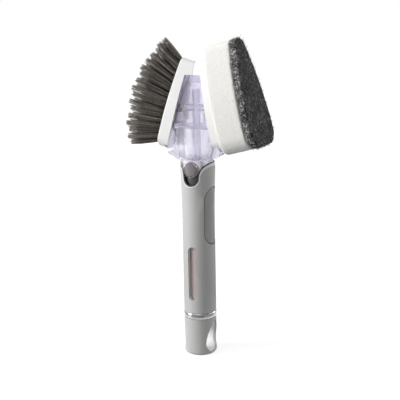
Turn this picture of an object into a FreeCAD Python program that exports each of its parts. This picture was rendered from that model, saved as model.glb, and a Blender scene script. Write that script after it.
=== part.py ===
import FreeCAD, Part
import math
import os
from types import SimpleNamespace

import Sketcher

# A double-sided dish wand that dispenses soap. It stands on the flat of its end cap, at the origin, with the
# handle along +Z. The window and the release button face -Y, the brush is on the -X side of the head, and the
# sponge and the pump button are on the +X side. Lengths are in millimetres and angles in degrees.

SIZES = {
    # Clearances: between pieces fixed together, and round pieces that move
    "fit_gap": 0.08,
    "slide_gap": 0.3,
    # End cap, with the hole it hangs by
    "cap_height": 32.0,
    "cap_radius": 13.5,
    "cap_wall": 1.6,
    "cap_round": 3.0,
    "plug_height": 14.0,
    "plug_wall": 1.8,
    "seal_radius": 0.55,
    "hang_width": 18.6,
    "hang_floor": 2.6,
    "hang_floor_width": 9.0,
    "hang_wide_height": 10.0,
    "hang_tip_drop": 1.4,
    # Trim ring
    "seam": 0.2,
    "ring_height": 5.0,
    "ring_radius": 13.7,
    "ring_round": 0.8,
    # Grip sleeve and the shell under it, with their wavy upper edge
    "grip_length": 107.3,
    "grip_radius": 13.45,
    "grip_flare": 1.1,
    "flare_length": 61.6,
    "grip_wall": 1.5,
    "shell_wall": 1.3,
    "notch_radius": 7.9,
    "notch_rim": 0.8,
    "shoulder_radius": 9.2,
    "lip_height": 3.6,
    # Window on the tank
    "window_width": 8.0,
    "window_length": 46.0,
    "window_rise": 11.2,
    # Soap tank
    "tank_wall": 1.2,
    "tank_flat": 2.4,
    "tank_headroom": 3.0,
    # Pump: button, diaphragm, tray, inlet valve and feed tube
    "pump_width": 19.0,
    "pump_length": 49.0,
    "pump_drop": 0.2,
    "pump_groove": 0.8,
    "pump_sink": 0.2,
    "pump_wall": 1.8,
    "pump_edge": 0.6,
    "post_width": 6.4,
    "tray_width": 12.0,
    "tray_length": 36.0,
    "tray_depth": 4.0,
    "tray_wall": 1.0,
    "diaphragm_wall": 0.8,
    "diaphragm_rise": 2.2,
    "diaphragm_rim": 2.0,
    "inlet_rise": 9.0,
    "inlet_radius": 2.6,
    "inlet_stem_radius": 0.9,
    "feed_radius": 1.35,
    "feed_wall": 0.5,
    # Socket for the head, with its release button and spring
    "socket_drop": 0.2,
    "socket_ledge": 1.0,
    "socket_floor": 2.5,
    "socket_height": 11.8,
    "socket_wall": 0.9,
    "release_width": 10.3,
    "release_height": 10.6,
    "release_rise": 14.7,
    "release_flange": 0.7,
    "release_flange_thickness": 1.0,
    "release_face": 1.7,
    "release_travel": 2.0,
    "release_proud": 0.2,
    "release_edge": 0.5,
    "spring_radius": 2.4,
    "spring_wire": 0.5,
    "spring_turns": 3.0,
    # Gasket in the wavy joint of handle and head
    "gasket_height": 1.0,
    "gasket_sink": 0.5,
    # Clear neck and hood of the head
    "neck_step": 0.3,
    "neck_length": 29.0,
    "neck_wall": 2.0,
    "neck_floor": 2.0,
    "neck_ledge": 1.5,
    "neck_seal_radius": 0.6,
    "bezel_wall": 1.0,
    "bezel_drop": 2.4,
    "top_half_width": 7.4,
    "top_half_depth": 4.4,
    "top_corner": 1.2,
    "seam_half_depth": 11.9,
    "seam_corner": 4.5,
    "hood_height": 40.1,
    "hood_wall": 1.8,
    "hood_roof": 5.9,
    "side_tilt": 15.5,
    "wing_half_depth": 8.0,
    "wing_drop": 20.0,
    "wing_toe": 5.0,
    "wing_slope": 3.4,
    # Soap manifold and its two outlet valves
    "plate_thickness": 2.0,
    "pipe_radius": 3.2,
    "pipe_wall": 1.2,
    "pipe_rise": 15.0,
    "branch_radius": 2.7,
    "branch_wall": 1.1,
    "outlet_rise": 13.7,
    "branch_half_length": 10.4,
    "valve_flange": 1.2,
    "valve_radius": 2.2,
    "valve_bore": 0.7,
    "valve_reach": 1.0,
    # Carriers of the brush and the sponge, which clip on the sides of the hood
    "block_thickness": 7.5,
    "carrier_thickness": 7.0,
    "carrier_half_width": 14.0,
    "carrier_rise": 12.0,
    "carrier_length": 74.0,
    "carrier_tip": 4.5,
    "carrier_corner": 9.0,
    "carrier_edge": 1.2,
    "rim_depth": 2.5,
    "rim_wall": 1.3,
    "tongue_height": 7.0,
    "tongue_thickness": 2.4,
    "tongue_reach": 4.0,
    "tongue_spread": 5.6,
    "tongue_rise": 3.6,
    # Sponge and scouring pad
    "sponge_thickness": 23.5,
    "pad_thickness": 6.3,
    "sponge_half_width": 22.0,
    "sponge_rise": 20.9,
    "sponge_length": 86.9,
    "sponge_tip": 8.5,
    "sponge_corner": 12.5,
    # Bristle tufts
    "tuft_pitch": 4.6,
    "tuft_radius": 1.1,
    "tuft_sides": 8,
    "tuft_tip_radius": 2.2,
    "tuft_foot_length": 25.0,
    "tuft_top_length": 23.5,
    "tuft_bulge": 8.2,
    "tuft_depth": 4.5,
    "tuft_margin": 2.3,
    "tuft_foot_margin": 5.0,
    "fan_low": 20.0,
    "fan_high": 31.0,
    "fan_side": 18.0,
}

document = FreeCAD.newDocument("DishWand")
sheet = document.addObject("Spreadsheet::Sheet", "Sizes")
for row, (alias, number) in enumerate(SIZES.items(), start=1):
    sheet.set(f"A{row}", alias)
    sheet.set(f"B{row}", str(number))
    sheet.setAlias(f"B{row}", alias)
document.recompute()


class Size:
    """A size of the sheet, or one worked out from others: its number and the formula that features follow."""

    def __init__(self, value, formula):
        self.value = value
        self.formula = formula

    def __add__(self, other):
        other = as_size(other)
        return Size(self.value + other.value, f"({self.formula} + {other.formula})")

    def __radd__(self, other):
        return as_size(other) + self

    def __sub__(self, other):
        other = as_size(other)
        return Size(self.value - other.value, f"({self.formula} - {other.formula})")

    def __rsub__(self, other):
        return as_size(other) - self

    def __mul__(self, other):
        other = as_size(other)
        return Size(self.value * other.value, f"({self.formula} * {other.formula})")

    def __rmul__(self, other):
        return as_size(other) * self

    def __truediv__(self, other):
        other = as_size(other)
        return Size(self.value / other.value, f"({self.formula} / {other.formula})")

    def __neg__(self):
        return -1 * self


def as_size(number):
    return number if isinstance(number, Size) else Size(float(number), f"({float(number)})")


def root(size):
    return Size(math.sqrt(size.value), f"sqrt({size.formula})")


def sine(angle):
    return Size(math.sin(math.radians(angle.value)), f"sin({angle.formula})")


def cosine(angle):
    return Size(math.cos(math.radians(angle.value)), f"cos({angle.formula})")


def tangent(angle):
    return Size(math.tan(math.radians(angle.value)), f"tan({angle.formula})")


def arc_radius(rise, run):
    """Radius of the arc that leaves a straight line without a corner and strays by rise from it over run."""
    return (rise * rise + run * run) / (2 * rise)


s = SimpleNamespace(**{alias: Size(float(sheet.get(alias)), f"Sizes.{alias}") for alias in SIZES})

# Radii of the handle's layers, from the grip inwards
shell_radius = s.grip_radius - s.grip_wall
tank_bore = shell_radius - s.shell_wall
tank_radius = tank_bore - s.fit_gap
tank_inside = tank_radius - s.tank_wall
plug_radius = tank_inside - s.slide_gap
socket_seat = tank_bore + s.socket_ledge
socket_radius = socket_seat - s.fit_gap
neck_radius = s.grip_radius + s.grip_flare - s.neck_step
sleeve_bore = socket_radius + s.slide_gap / 2
cap_core_radius = s.cap_radius - s.cap_wall - s.fit_gap

# Heights along the handle
ring_low = s.cap_height + s.seam
grip_low = ring_low + s.ring_height
notch_low = grip_low + s.grip_length
saddle = notch_low + s.notch_radius
grip_top = saddle + s.shoulder_radius
lip_top = grip_top + s.lip_height
flare_low = grip_top - s.flare_length
window_middle = grip_low + s.window_rise + s.window_length / 2
pump_middle = notch_low - s.pump_drop - s.pump_length / 2
socket_low = notch_low + s.socket_drop
tank_low = s.cap_height + 2 * s.seal_radius + 2 * s.fit_gap
tank_top = socket_low - s.tank_headroom

# Places of the pump's pieces, as distances from the handle's axis
tray_back = s.tank_flat + s.fit_gap
tray_rim = tray_back + s.tray_depth
diaphragm_top = tray_rim + s.fit_gap + s.diaphragm_wall + s.diaphragm_rise
feed_place = tray_back + s.tray_wall + s.feed_radius
inlet_height = pump_middle - s.tray_length / 2 + s.inlet_rise
tray_top = pump_middle + s.tray_length / 2

# Release button: heights, and depths counted forwards from the handle's axis
release_height = notch_low + s.release_rise
flange_half_width = s.release_width / 2 + s.release_flange
flange_front = root(sleeve_bore * sleeve_bore - flange_half_width * flange_half_width) - s.slide_gap / 2
flange_back = flange_front - s.release_flange_thickness
pocket_floor = flange_back - s.release_travel - s.slide_gap / 2
tower_back = pocket_floor - s.socket_wall
tower_half_width = flange_half_width + s.slide_gap + s.socket_wall
tower_top = release_height + s.release_height / 2 + s.release_flange + s.slide_gap + s.socket_wall
release_front = neck_radius + s.release_proud
spigot_radius = tower_back - s.slide_gap
spigot_bore = spigot_radius + s.fit_gap
spigot_low = socket_low + s.socket_floor + s.slide_gap
socket_top = socket_low + s.socket_height
neck_seal_height = spigot_low + 3 * s.neck_seal_radius

# Head: heights and half widths
neck_floor_low = tower_top + s.slide_gap
neck_floor_high = neck_floor_low + s.neck_floor
seam_height = lip_top + s.neck_length
head_top = seam_height + s.hood_height
outlet_height = seam_height + s.outlet_rise
seam_half_width = s.top_half_width + s.hood_height * tangent(s.side_tilt)
seat_half_width = seam_half_width - s.hood_wall
seat_half_depth = s.seam_half_depth - s.hood_wall
seat_corner = s.seam_corner - s.hood_wall
riser_low = neck_floor_low - s.pipe_wall
tongue_low = seam_height + s.tongue_rise
tongue_high = tongue_low + s.tongue_height


def side_plane(height):
    """Distance of the hood's sloping side from the axis at a height."""
    return s.top_half_width + (head_top - height) * tangent(s.side_tilt)


# Sketches and features


def new_body(label):
    body = document.addObject("PartDesign::Body", label)
    body.Label = label
    return body


def sketch_on(body, role, offset=(0, 0, 0), tilt=None):
    """A sketch on one of the body's origin planes, moved by offset in its own axes and tilted about its X."""
    sketch = body.newObject("Sketcher::SketchObject", "Sketch")
    plane = next(feature for feature in body.Origin.OriginFeatures if feature.Role == role)
    sketch.AttachmentSupport = [(plane, "")]
    sketch.MapMode = "FlatFace"
    if tilt is not None:
        leaning = FreeCAD.Rotation(FreeCAD.Vector(-1, 0, 0), tilt.value)
        sketch.AttachmentOffset = FreeCAD.Placement(FreeCAD.Vector(), leaning)
        sketch.setExpression("AttachmentOffset.Rotation.Angle", tilt.formula)
    for axis, distance in zip("xyz", offset):
        sketch.setExpression(f"AttachmentOffset.Base.{axis}", as_size(distance).formula)
    return sketch


def bind_constraints(sketch, constraints, formulas):
    """Add the constraints, and bind each that has a formula to it."""
    for index, formula in zip(sketch.addConstraint(constraints), formulas):
        if formula is not None:
            sketch.setExpression(f"Constraints[{index}]", formula)


def arc_between(start, end, bend):
    """The short arc from start to end. It turns left where bend, its radius, is positive."""
    chord = end - start
    radius = max(abs(bend), chord.Length / 2)
    to_left = FreeCAD.Vector(-chord.y, chord.x, 0).normalize()
    reach = math.sqrt(max(radius ** 2 - chord.Length ** 2 / 4, 0.0))
    centre = (start + end) / 2 + to_left * math.copysign(reach, bend)
    angles = [math.atan2(point.y - centre.y, point.x - centre.x) for point in (start, end)]
    if bend < 0:
        angles.reverse()
    if angles[1] < angles[0]:
        angles[1] += 2 * math.pi
    return Part.ArcOfCircle(Part.Circle(centre, FreeCAD.Vector(0, 0, 1), radius), *angles)


def add_outline(sketch, corners):
    """A closed outline of corners (x, y), or (x, y, bend) where an arc of that radius leads on."""
    points = [(as_size(corner[0]), as_size(corner[1])) for corner in corners]
    vectors = [FreeCAD.Vector(x.value, y.value, 0) for x, y in points]
    bends = [corner[2] if len(corner) > 2 else None for corner in corners]
    following = vectors[1:] + vectors[:1]
    first = sketch.GeometryCount
    for start, end, bend in zip(vectors, following, bends):
        edge = Part.LineSegment(start, end) if bend is None else arc_between(start, end, bend.value)
        sketch.addGeometry(edge)
    constraints = []
    formulas = []
    for index, ((x, y), bend) in enumerate(zip(points, bends)):
        turned = bend is not None and bend.value < 0
        near, far = (2, 1) if turned else (1, 2)
        next_index = (index + 1) % len(points)
        next_bend = bends[next_index]
        next_near = 2 if next_bend is not None and next_bend.value < 0 else 1
        edge = first + index
        constraints.append(Sketcher.Constraint("Coincident", edge, far, first + next_index, next_near))
        formulas.append(None)
        constraints.append(Sketcher.Constraint("DistanceX", -1, 1, edge, near, x.value))
        formulas.append(x.formula)
        constraints.append(Sketcher.Constraint("DistanceY", -1, 1, edge, near, y.value))
        formulas.append(y.formula)
        if bend is not None:
            constraints.append(Sketcher.Constraint("Radius", edge, abs(bend.value)))
            formulas.append((-bend if turned else bend).formula)
    bind_constraints(sketch, constraints, formulas)


def add_circle(sketch, x, y, radius):
    x, y = as_size(x), as_size(y)
    centre = FreeCAD.Vector(x.value, y.value, 0)
    index = sketch.addGeometry(Part.Circle(centre, FreeCAD.Vector(0, 0, 1), radius.value))
    constraints = [
        Sketcher.Constraint("DistanceX", -1, 1, index, 3, x.value),
        Sketcher.Constraint("DistanceY", -1, 1, index, 3, y.value),
        Sketcher.Constraint("Radius", index, radius.value),
    ]
    bind_constraints(sketch, constraints, [x.formula, y.formula, radius.formula])


def outline_sketch(body, role, corners, offset=(0, 0, 0), tilt=None):
    sketch = sketch_on(body, role, offset, tilt)
    add_outline(sketch, corners)
    return sketch


def circle_sketch(body, role, x, y, radius, offset=(0, 0, 0)):
    sketch = sketch_on(body, role, offset)
    add_circle(sketch, x, y, radius)
    return sketch


def new_feature(body, kind, sketch):
    feature = body.newObject(f"PartDesign::{kind}", kind)
    feature.Profile = sketch
    return feature


def pad(body, sketch, length, both=False, reverse=False):
    feature = new_feature(body, "Pad", sketch)
    feature.setExpression("Length", as_size(length).formula)
    feature.SideType = "Symmetric" if both else "One side"
    feature.Reversed = reverse
    return feature


def pocket(body, sketch, length=None, both=False, reverse=False):
    """Cut by the sketch: against its normal, or along it when reversed, by a length or through everything."""
    feature = new_feature(body, "Pocket", sketch)
    feature.SideType = "Symmetric" if both else "One side"
    feature.Reversed = reverse
    if length is None:
        feature.Type = "ThroughAll"
    else:
        feature.setExpression("Length", as_size(length).formula)
    return feature


def turn(body, sketch, kind="Revolution", axis="V_Axis"):
    feature = new_feature(body, kind, sketch)
    feature.ReferenceAxis = (sketch, [axis])
    feature.Angle = 360
    return feature


def loft(body, low, high, kind="AdditiveLoft"):
    feature = new_feature(body, kind, low)
    feature.Sections = [high]
    feature.Ruled = True
    return feature


def round_edges(body, feature, radius, chosen):
    """Round the edges of a feature whose middle and ends are all chosen."""
    document.recompute()
    names = []
    for index, edge in enumerate(feature.Shape.Edges, start=1):
        points = [vertex.Point for vertex in edge.Vertexes]
        points.append(edge.valueAt((edge.FirstParameter + edge.LastParameter) / 2))
        if all(chosen(point) for point in points):
            names.append(f"Edge{index}")
    fillet = body.newObject("PartDesign::Fillet", "Fillet")
    fillet.Base = (feature, names)
    fillet.setExpression("Radius", radius.formula)
    return fillet


def turned_body(label, corners):
    """A body turned about the handle's axis from a profile of radii and heights."""
    body = new_body(label)
    turn(body, outline_sketch(body, "XZ_Plane", corners))
    return body


def cut(label, base, tool):
    result = document.addObject("Part::Cut", label)
    result.Label = label
    result.Base = base
    result.Tool = tool
    return result


def fuse(label, pieces):
    result = document.addObject("Part::MultiFuse", label)
    result.Label = label
    result.Shapes = pieces
    return result


# Outlines that several pieces share


def rectangle(low_x, low_y, high_x, high_y):
    return [(low_x, low_y), (high_x, low_y), (high_x, high_y), (low_x, high_y)]


def slot_outline(half_width, length, middle):
    """An upright slot with round ends, about the sketch's vertical axis."""
    straight = length / 2 - half_width
    return [
        (half_width, middle - straight),
        (half_width, middle + straight, half_width),
        (0, middle + length / 2, half_width),
        (-half_width, middle + straight),
        (-half_width, middle - straight, half_width),
        (0, middle - length / 2, half_width),
    ]


def rounded_rectangle(half_x, half_y, corner):
    flat_x = half_x - corner
    flat_y = half_y - corner
    return [
        (half_x, -flat_y), (half_x, flat_y, corner),
        (flat_x, half_y), (-flat_x, half_y, corner),
        (-half_x, flat_y), (-half_x, -flat_y, corner),
        (-flat_x, -half_y), (flat_x, -half_y, corner),
    ]


def ring_like(radius, half_x, half_y, corner):
    """A circle split into arcs that face the edges of a rounded rectangle, so that the two can be lofted."""
    corners = []
    for x, y, *_ in rounded_rectangle(half_x, half_y, corner):
        share = radius / root(x * x + y * y)
        corners.append((x * share, y * share, radius))
    return corners


def pick_outline(half_width, rise, length, tip, corner):
    """A guitar-pick outline: a round tip, long curved flanks, and a flat foot with round corners."""
    foot = rise - length
    low = foot + corner
    span = rise - tip - low
    flank = (half_width * half_width - tip * tip + span * span) / (2 * (half_width - tip))
    reach = flank - tip
    touch_x = tip * (flank - half_width) / reach
    touch_y = rise - tip + tip * span / reach
    flat = half_width - corner
    return [
        (flat, foot, corner), (half_width, low, flank), (touch_x, touch_y, tip),
        (0, rise, tip), (-touch_x, touch_y, flank), (-half_width, low, corner), (-flat, foot),
    ]


wave_reach = 2 * (s.grip_radius + s.shoulder_radius)
shell_notch = s.notch_radius - s.notch_rim
shell_shoulder = lip_top - saddle


def above_wave(notch, shoulder):
    """What lies above the wavy joint of handle and head: level shoulders that dip into a round notch."""
    top = saddle + shoulder
    high = lip_top + s.lip_height
    return [
        (-wave_reach, top), (-notch - shoulder, top, -shoulder), (-notch, saddle, notch),
        (0, saddle - notch, notch), (notch, saddle, -shoulder), (notch + shoulder, top), (wave_reach, top),
        (wave_reach, high), (-wave_reach, high),
    ]


def below_wave(notch, shoulder):
    """What lies below the wavy joint."""
    low = notch_low - s.notch_radius
    top = saddle + shoulder
    return [
        (-wave_reach, low), (wave_reach, low), (wave_reach, top), (notch + shoulder, top, shoulder),
        (notch, saddle, -notch), (0, saddle - notch, -notch), (-notch, saddle, shoulder),
        (-notch - shoulder, top), (-wave_reach, top),
    ]


def hang_outline():
    """The hang hole: a pointed arch on a flat floor."""
    half = s.hang_width / 2
    floor_half = s.hang_floor_width / 2
    low_arc = arc_radius(half - floor_half, s.hang_wide_height - s.hang_floor)
    tip = s.cap_height - s.hang_tip_drop
    arch = arc_radius(half, tip - s.hang_wide_height)
    return [
        (floor_half, s.hang_floor, low_arc), (half, s.hang_wide_height, arch), (0, tip, arch),
        (-half, s.hang_wide_height, low_arc), (-floor_half, s.hang_floor),
    ]


def flared_edge(radius, low):
    """The handle's side from low up to the grip's top: straight, then flaring out."""
    flare_arc = arc_radius(s.grip_flare, s.flare_length)
    return [(radius, low), (radius, flare_low, -flare_arc), (radius + s.grip_flare, grip_top)]


def flared_edge_down(radius, low):
    flare_arc = arc_radius(s.grip_flare, s.flare_length)
    return [(radius + s.grip_flare, grip_top, flare_arc), (radius, flare_low), (radius, low)]


def pump_opening():
    return slot_outline(s.pump_width / 2, s.pump_length, pump_middle)


def window_opening():
    return slot_outline(s.window_width / 2, s.window_length, window_middle)


def cut_handle_openings(body):
    """The window, through the front, and the pump button's opening, through the sponge side."""
    pocket(body, outline_sketch(body, "XZ_Plane", window_opening()), reverse=True)
    return pocket(body, outline_sketch(body, "YZ_Plane", pump_opening()), reverse=True)


# End cap


def make_cap_skin():
    body = turned_body("cap_skin", [
        (0, 0), (s.cap_radius - s.cap_round, 0, s.cap_round), (s.cap_radius, s.cap_round),
        (s.cap_radius, s.cap_height), (cap_core_radius + s.fit_gap, s.cap_height),
        (cap_core_radius + s.fit_gap, s.cap_wall), (0, s.cap_wall),
    ])
    pocket(body, outline_sketch(body, "YZ_Plane", hang_outline()), both=True)
    return body


def make_cap_core():
    low = s.cap_wall + s.fit_gap
    plug_top = s.cap_height + s.plug_height
    plug_bore = plug_radius - s.plug_wall
    body = turned_body("cap_core", [
        (0, low), (cap_core_radius, low), (cap_core_radius, s.cap_height), (plug_radius, s.cap_height),
        (plug_radius, plug_top), (plug_bore, plug_top), (plug_bore, s.cap_height + s.plug_wall),
        (0, s.cap_height + s.plug_wall),
    ])
    pocket(body, outline_sketch(body, "YZ_Plane", hang_outline()), both=True)
    return body


def make_torus(label, ring, section, height):
    torus = document.addObject("Part::Torus", label)
    torus.Label = label
    torus.setExpression("Radius1", ring.formula)
    torus.setExpression("Radius2", section.formula)
    torus.setExpression("Placement.Base.z", height.formula)
    return torus


def make_cap_seal():
    return make_torus("cap_seal", tank_inside + s.seal_radius - s.fit_gap, s.seal_radius,
                      s.cap_height + s.seal_radius + s.fit_gap)


# Handle


def make_trim_ring():
    inside = shell_radius + s.fit_gap
    high = grip_low - s.seam
    flat = s.ring_radius - s.ring_round
    return turned_body("trim_ring", [
        (inside, ring_low), (flat, ring_low, s.ring_round), (s.ring_radius, ring_low + s.ring_round),
        (s.ring_radius, high - s.ring_round, s.ring_round), (flat, high), (inside, high),
    ])


def make_grip_sleeve():
    inside = shell_radius + s.fit_gap
    outline = flared_edge(s.grip_radius, grip_low) + flared_edge_down(inside, grip_low)
    body = turned_body("grip_sleeve", outline)
    pocket(body, outline_sketch(body, "XZ_Plane", above_wave(s.notch_radius, s.shoulder_radius)), both=True)
    cut_handle_openings(body)
    return body


def make_handle_shell():
    """A tube under the grip, with a lip above the grip's wavy edge that stands out to the grip's face."""
    tube = turned_body("shell_tube", flared_edge(shell_radius, ring_low) + [
        (shell_radius + s.grip_flare, lip_top), (socket_seat, lip_top), (socket_seat, socket_low),
        (tank_bore, socket_low), (tank_bore, ring_low),
    ])
    cut_handle_openings(tube)
    lip_inside = socket_seat + s.fit_gap
    lip_low = saddle - s.notch_radius
    lip = turned_body("shell_lip", [
        (lip_inside, lip_low), (neck_radius, lip_low), (neck_radius, lip_top), (lip_inside, lip_top),
    ])
    under = below_wave(s.notch_radius - s.fit_gap, s.shoulder_radius + s.fit_gap)
    pocket(lip, outline_sketch(lip, "XZ_Plane", under), both=True)
    joined = fuse("shell_joined", [tube, lip])
    wave = new_body("shell_wave")
    over = outline_sketch(wave, "XZ_Plane", above_wave(shell_notch, shell_shoulder))
    pad(wave, over, 4 * s.grip_radius, both=True)
    return cut("handle_shell", joined, wave)


def tank_form(label, radius, low, high, flat, flat_low):
    """A cylinder with a flat on the sponge side, from flat_low upwards."""
    body = new_body(label)
    pad(body, circle_sketch(body, "XY_Plane", 0, 0, radius, (0, 0, low)), high - low)
    side = rectangle(flat, flat_low, flat + 2 * radius, high + radius)
    pocket(body, outline_sketch(body, "XZ_Plane", side), both=True)
    return body


def make_reservoir():
    """The smoky soap tank: a round bottle, open below, with a flat above its middle where the pump sits."""
    flat_low = pump_middle - s.pump_length / 2 - s.tank_headroom
    outside = tank_form("tank_outside", tank_radius, tank_low, tank_top, s.tank_flat, flat_low)
    inside = tank_form("tank_inside", tank_inside, tank_low - s.tank_wall, tank_top - s.tank_wall,
                       s.tank_flat - s.tank_wall, flat_low - s.tank_wall)
    pocket(outside, circle_sketch(outside, "YZ_Plane", 0, inlet_height, s.inlet_stem_radius + s.fit_gap),
           reverse=True)
    return cut("reservoir", outside, inside)


# Pump


def make_pump_tray():
    """The pump's chamber: a shallow tray on the tank's flat, with a floor inlet and a top outlet."""
    body = new_body("pump_tray")
    half = s.tray_width / 2
    outer = slot_outline(half, s.tray_length, pump_middle)
    pad(body, outline_sketch(body, "YZ_Plane", outer, (0, 0, tray_back)), s.tray_depth)
    inner = slot_outline(half - s.tray_wall, s.tray_length - 2 * s.tray_wall, pump_middle)
    pocket(body, outline_sketch(body, "YZ_Plane", inner, (0, 0, tray_rim)), s.tray_depth - s.tray_wall)
    inlet = circle_sketch(body, "YZ_Plane", 0, inlet_height, s.inlet_stem_radius + s.fit_gap)
    pocket(body, inlet, reverse=True)
    above = (0, 0, tray_top + s.tray_wall)
    outlet = circle_sketch(body, "XY_Plane", feed_place, 0, s.feed_radius + s.fit_gap, above)
    pocket(body, outlet, 2 * s.tray_wall)
    return body


def make_pump_diaphragm():
    """A soft top-hat membrane: its rim lies on the tray and its crown carries the button's post."""
    body = new_body("pump_diaphragm")
    low = tray_rim + s.fit_gap
    rim = slot_outline(s.tray_width / 2, s.tray_length, pump_middle)
    crown_half = s.tray_width / 2 - s.diaphragm_rim
    crown_length = s.tray_length - 2 * s.diaphragm_rim
    crown = slot_outline(crown_half, crown_length, pump_middle)
    hollow = slot_outline(crown_half - s.diaphragm_wall, crown_length - 2 * s.diaphragm_wall, pump_middle)
    pad(body, outline_sketch(body, "YZ_Plane", rim, (0, 0, low)), s.diaphragm_wall)
    pad(body, outline_sketch(body, "YZ_Plane", crown, (0, 0, low)), s.diaphragm_wall + s.diaphragm_rise)
    pocket(body, outline_sketch(body, "YZ_Plane", hollow, (0, 0, low)), s.diaphragm_rise, reverse=True)
    return body


def make_inlet_valve():
    """An umbrella valve: its disc covers the tray's inlet, and its stem is held in the tank's wall."""
    body = new_body("inlet_valve")
    face = tray_back + s.tray_wall + s.fit_gap
    stem = s.inlet_stem_radius
    bulb_face = s.tank_flat - s.tank_wall - s.fit_gap
    profile = [
        (bulb_face - stem, 0), (face + stem, 0), (face + stem / 2, s.inlet_radius), (face, s.inlet_radius),
        (face, stem), (bulb_face, stem), (bulb_face, stem * 1.5),
    ]
    sketch = outline_sketch(body, "XZ_Plane", profile, (0, inlet_height, 0))
    turn(body, sketch, axis="H_Axis")
    return body


def make_feed_tube():
    body = new_body("feed_tube")
    low = tray_top - s.tray_wall + s.fit_gap
    high = socket_low + s.socket_floor / 2
    sketch = circle_sketch(body, "XY_Plane", feed_place, 0, s.feed_radius, (0, 0, low))
    add_circle(sketch, feed_place, 0, s.feed_radius - s.feed_wall)
    pad(body, sketch, high - low)
    return body


def make_pump_button():
    """A curved button with a groove round it, and a post behind it that presses the diaphragm."""
    face = s.grip_radius - s.pump_sink
    low = pump_middle - s.pump_length / 2
    body = turned_body("pump_button", flared_edge(face, low) + flared_edge_down(face - s.pump_wall, low))
    around = sketch_on(body, "YZ_Plane")
    far = 2 * s.grip_radius
    add_outline(around, rectangle(-far, low - far, far, grip_top + far))
    half = s.pump_width / 2 - s.pump_groove
    add_outline(around, slot_outline(half, s.pump_length - 2 * s.pump_groove, pump_middle))
    pocket(body, around, both=True)
    behind = outline_sketch(body, "YZ_Plane", rectangle(-far, low - far, far, grip_top + far))
    front = pocket(body, behind)
    rim = face.value - s.fit_gap.value
    round_edges(body, front, s.pump_edge, lambda point: math.hypot(point.x, point.y) > rim)
    foot = diaphragm_top + s.fit_gap
    post_length = s.tray_length - s.tray_width + s.post_width
    post_slot = slot_outline(s.post_width / 2, post_length, pump_middle)
    pad(body, outline_sketch(body, "YZ_Plane", post_slot, (0, 0, foot)), face - s.pump_wall / 2 - foot)
    return body


# Socket and release button


def cut_release_way(body):
    """The pocket in which the release button's flange and spring move."""
    length = s.release_height + 2 * (s.release_flange + s.slide_gap)
    way = slot_outline(flange_half_width + s.slide_gap, length, release_height)
    pocket(body, outline_sketch(body, "XZ_Plane", way, (0, 0, pocket_floor)), reverse=True)


def make_neck_socket():
    """The dark socket in the handle's mouth: a bored plug for the head's spigot, fed with soap from below."""
    floor = socket_low + s.socket_floor
    body = turned_body("neck_socket", [
        (0, socket_low), (socket_radius, socket_low), (socket_radius, socket_top), (spigot_bore, socket_top),
        (spigot_bore, floor), (0, floor),
    ])
    cut_release_way(body)
    seat = circle_sketch(body, "XY_Plane", feed_place, 0, s.feed_radius + s.fit_gap, (0, 0, socket_low))
    pocket(body, seat, s.socket_floor / 2 + s.fit_gap, reverse=True)
    way = circle_sketch(body, "XY_Plane", feed_place, 0, s.feed_radius - s.feed_wall, (0, 0, socket_low))
    pocket(body, way, s.socket_floor, reverse=True)
    return body


def make_release_guide():
    """A tower on the front of the socket that guides the release button and backs its spring."""
    low = socket_top + s.fit_gap
    body = turned_body("release_guide", [
        (spigot_bore, low), (socket_radius, low), (socket_radius, tower_top), (spigot_bore, tower_top),
    ])
    far = 2 * socket_radius
    half = tower_half_width
    around = [
        (-far, -far), (-half, -far), (-half, -tower_back), (half, -tower_back), (half, -far),
        (far, -far), (far, far), (-far, far),
    ]
    pocket(body, outline_sketch(body, "XY_Plane", around, (0, 0, low)), reverse=True)
    cut_release_way(body)
    return body


def make_release_button():
    """A push button: its face follows the neck, its flange keeps it in, and its spring sits in its back."""
    body = new_body("release_button")
    stem = slot_outline(s.release_width / 2, s.release_height, release_height)
    flange = slot_outline(flange_half_width, s.release_height + 2 * s.release_flange, release_height)
    pad(body, outline_sketch(body, "XZ_Plane", stem, (0, 0, flange_back)), release_front)
    pad(body, outline_sketch(body, "XZ_Plane", flange, (0, 0, flange_back)), s.release_flange_thickness)
    seat = circle_sketch(body, "XZ_Plane", 0, release_height, s.spring_radius + s.spring_wire,
                         (0, 0, release_front - s.release_face))
    pocket(body, seat)
    around = rectangle(release_front, release_height - s.release_height, 3 * release_front,
                       release_height + s.release_height)
    face = turn(body, outline_sketch(body, "XZ_Plane", around), "Groove")
    rim = release_front.value - s.fit_gap.value
    round_edges(body, face, s.release_edge, lambda point: math.hypot(point.x, point.y) > rim)
    return body


def make_release_spring():
    """A short coil between the socket and the release button, along the button's way."""
    wire = s.spring_wire.value / 2
    radius = s.spring_radius.value
    start = pocket_floor.value + wire + s.fit_gap.value
    end = release_front.value - s.release_face.value - wire - s.fit_gap.value
    quarters = int(round(4 * s.spring_turns.value))

    def point(quarter):
        angle = quarter * math.pi / 2
        depth = start + (end - start) * quarter / quarters
        height = release_height.value + radius * math.sin(angle)
        return FreeCAD.Vector(radius * math.cos(angle), -depth, height)

    arcs = [Part.Arc(point(q), point(q + 0.5), point(q + 1)).toShape() for q in range(quarters)]
    path = Part.Wire(arcs)
    section = Part.Wire(Part.makeCircle(wire, point(0), arcs[0].tangentAt(arcs[0].FirstParameter)))
    spring = document.addObject("Part::Feature", "release_spring")
    spring.Label = "release_spring"
    spring.Shape = path.makePipeShell([section], True, False)
    spring.Placement = FreeCAD.Placement()
    return spring


# Head


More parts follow.
